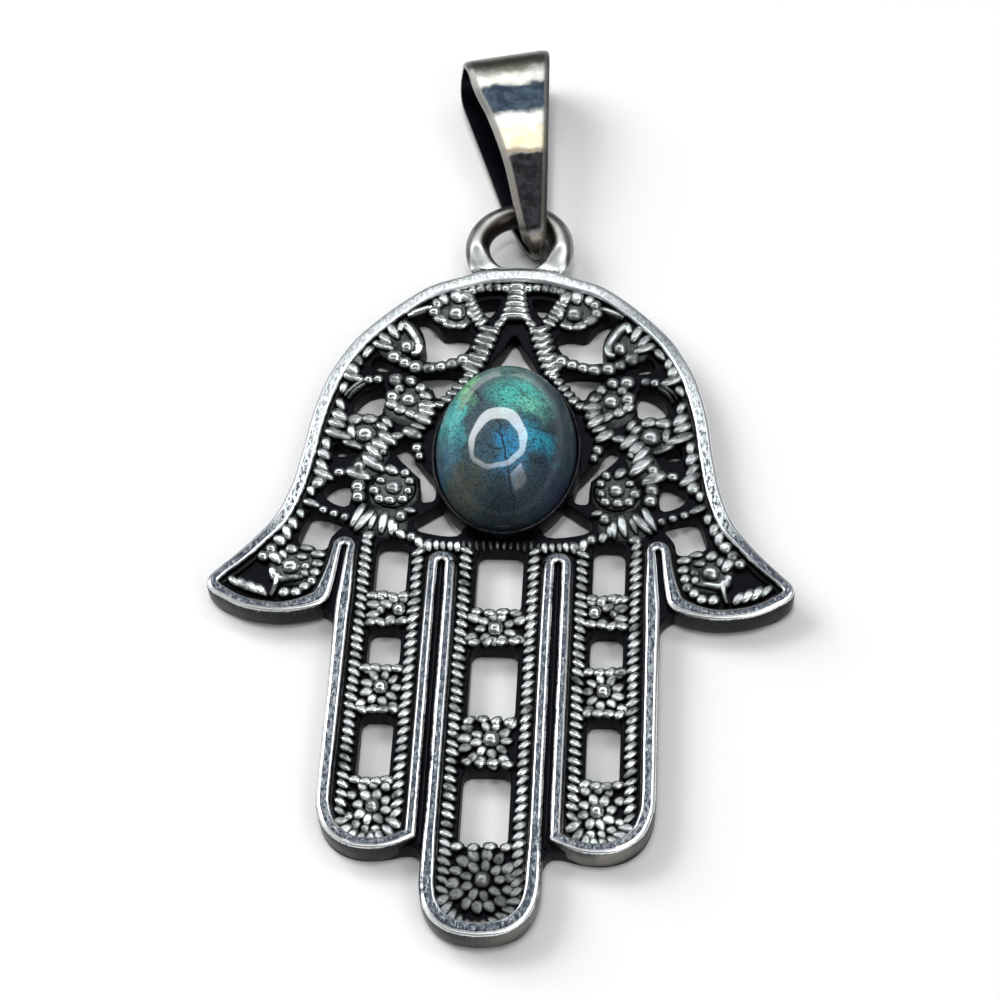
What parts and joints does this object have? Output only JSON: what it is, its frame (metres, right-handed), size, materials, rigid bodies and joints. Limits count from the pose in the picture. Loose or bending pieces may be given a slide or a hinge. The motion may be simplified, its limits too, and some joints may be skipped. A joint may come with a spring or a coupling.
{
  "type": "hamsa pendant",
  "caption": "Openwork hand-shaped pendant with a domed oval stone in the palm, a soldered top ring and a folded strap bail for a chain.",
  "frame": {"origin": "point on the flat back of the casting, under the middle of the stone", "axes": "+X to the wearer's left across the thumbs, +Y up the hand towards the ring and the bail, +Z out of the front of the stone"},
  "size_m": [0.024, 0.0447, 0.0044],
  "materials": {
    "oxidised_silver": "cast silver, blackened in the recesses and rubbed bright on the high edges",
    "labradorite": "polished",
    "polished_silver": "polished, slightly toned"
  },
  "bodies": {
    "root": {"hand_casting": "oxidised_silver", "cabochon": "labradorite", "bail": "polished_silver"}
  },
  "joints": []
}
